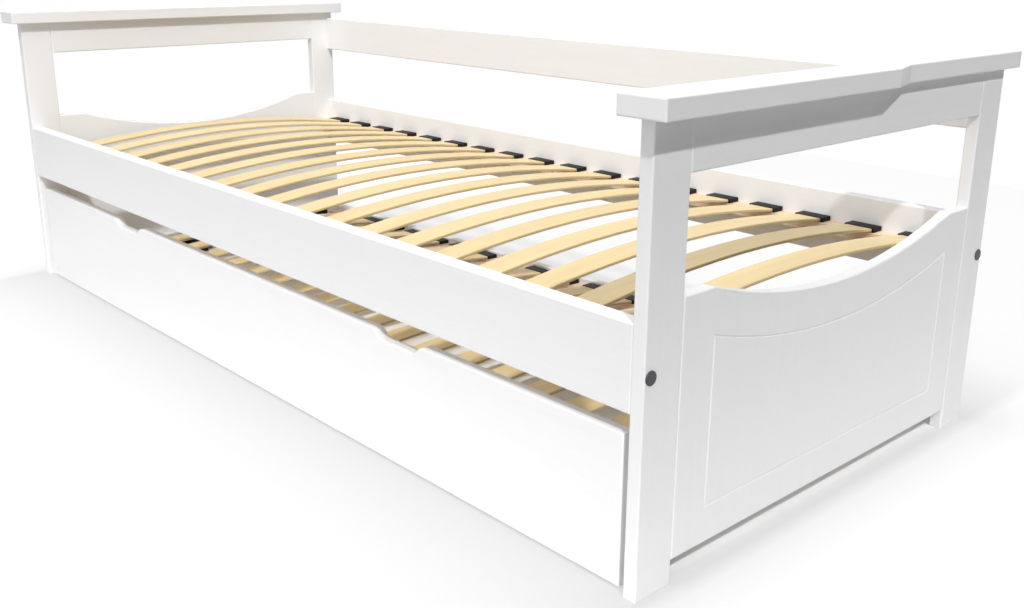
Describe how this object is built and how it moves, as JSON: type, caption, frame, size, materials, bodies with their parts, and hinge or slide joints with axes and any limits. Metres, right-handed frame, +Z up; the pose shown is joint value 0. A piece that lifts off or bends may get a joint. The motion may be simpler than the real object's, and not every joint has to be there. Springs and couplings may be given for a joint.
{
  "type": "trundle bed",
  "caption": "White wooden daybed with panelled ends and a backrest rail, sprung slats, and a low slatted trundle that rolls out to the front.",
  "frame": {"origin": "on the floor, under the middle of the whole bed's box", "axes": "+X along the bed's length, +Y to the backrest, +Z up; the trundle rolls out along -Y"},
  "size_m": [2.121, 0.944, 0.666],
  "materials": {
    "white_lacquer": "solid pine boards under white satin lacquer",
    "birch_slat": "laminated birch, clear satin",
    "pine": "planed pine, bare",
    "beech": "turned beech dowel, bare",
    "black_plastic": "moulded, matt",
    "grey_plastic": "moulded, satin",
    "wheel_plastic": "moulded nylon, satin",
    "zinc_steel": "bright zinc plate"
  },
  "bodies": {
    "bed_frame": {"post_front_left": "white_lacquer", "post_front_right": "white_lacquer", "post_rear_left": "white_lacquer", "post_rear_right": "white_lacquer", "end_panel_left": "white_lacquer", "end_panel_right": "white_lacquer", "end_rail_left": "white_lacquer", "end_rail_right": "white_lacquer", "arm_board_left": "white_lacquer", "arm_board_right": "white_lacquer", "front_rail": "white_lacquer", "rear_rail": "white_lacquer", "back_rail": "white_lacquer", "batten_front": "pine", "batten_rear": "pine", "bed_slats": "birch_slat", "slat_caps_front": "black_plastic", "slat_caps_rear": "black_plastic", "rail_bolts": "zinc_steel", "barrel_nuts": "zinc_steel", "bolt_caps": "grey_plastic", "rail_dowels": "beech", "end_frame_dowels": "beech", "arm_dowels": "beech", "back_rail_dowels": "beech", "cam_locks": "zinc_steel", "cam_bolts": "zinc_steel", "batten_screws": "zinc_steel"},
    "trundle": {"trundle_front": "white_lacquer", "trundle_side_left": "white_lacquer", "trundle_side_right": "white_lacquer", "trundle_back": "white_lacquer", "trundle_batten_front": "pine", "trundle_batten_rear": "pine", "trundle_slats": "birch_slat", "trundle_caps_front": "black_plastic", "trundle_caps_rear": "black_plastic", "trundle_dowels": "beech", "trundle_cam_locks": "zinc_steel", "trundle_cam_bolts": "zinc_steel", "trundle_screws": "zinc_steel", "trundle_batten_screws": "zinc_steel", "caster_housing_front_left": "black_plastic", "caster_housing_front_right": "black_plastic", "caster_housing_middle_left": "black_plastic", "caster_housing_middle_right": "black_plastic", "caster_housing_rear_left": "black_plastic", "caster_housing_rear_right": "black_plastic", "caster_screws": "zinc_steel", "caster_axles": "zinc_steel"},
    "wheel_front_left_body": {"wheel_front_left": "wheel_plastic"},
    "wheel_front_right_body": {"wheel_front_right": "wheel_plastic"},
    "wheel_middle_left_body": {"wheel_middle_left": "wheel_plastic"},
    "wheel_middle_right_body": {"wheel_middle_right": "wheel_plastic"},
    "wheel_rear_left_body": {"wheel_rear_left": "wheel_plastic"},
    "wheel_rear_right_body": {"wheel_rear_right": "wheel_plastic"}
  },
  "joints": [
    {"name": "trundle_slide", "type": "slide", "parent": "bed_frame", "child": "trundle", "axis": [0, -1, 0], "range_m": [0, 0.88]},
    {"name": "wheel_front_left_spin", "type": "hinge", "parent": "trundle", "child": "wheel_front_left_body", "pos_m": [-0.945, -0.3275, 0.02], "axis": [1, 0, 0], "continuous": true},
    {"name": "wheel_front_right_spin", "type": "hinge", "parent": "trundle", "child": "wheel_front_right_body", "pos_m": [0.945, -0.3275, 0.02], "axis": [1, 0, 0], "continuous": true},
    {"name": "wheel_middle_left_spin", "type": "hinge", "parent": "trundle", "child": "wheel_middle_left_body", "pos_m": [-0.945, -0.0605, 0.02], "axis": [1, 0, 0], "continuous": true},
    {"name": "wheel_middle_right_spin", "type": "hinge", "parent": "trundle", "child": "wheel_middle_right_body", "pos_m": [0.945, -0.0605, 0.02], "axis": [1, 0, 0], "continuous": true},
    {"name": "wheel_rear_left_spin", "type": "hinge", "parent": "trundle", "child": "wheel_rear_left_body", "pos_m": [-0.945, 0.3245, 0.02], "axis": [1, 0, 0], "continuous": true},
    {"name": "wheel_rear_right_spin", "type": "hinge", "parent": "trundle", "child": "wheel_rear_right_body", "pos_m": [0.945, 0.3245, 0.02], "axis": [1, 0, 0], "continuous": true}
  ],
  "couplings": [
    {"joint": "wheel_front_left_spin", "follows": "trundle_slide", "rad_per_m": 50},
    {"joint": "wheel_front_right_spin", "follows": "trundle_slide", "rad_per_m": 50},
    {"joint": "wheel_middle_left_spin", "follows": "trundle_slide", "rad_per_m": 50},
    {"joint": "wheel_middle_right_spin", "follows": "trundle_slide", "rad_per_m": 50},
    {"joint": "wheel_rear_left_spin", "follows": "trundle_slide", "rad_per_m": 50},
    {"joint": "wheel_rear_right_spin", "follows": "trundle_slide", "rad_per_m": 50}
  ]
}
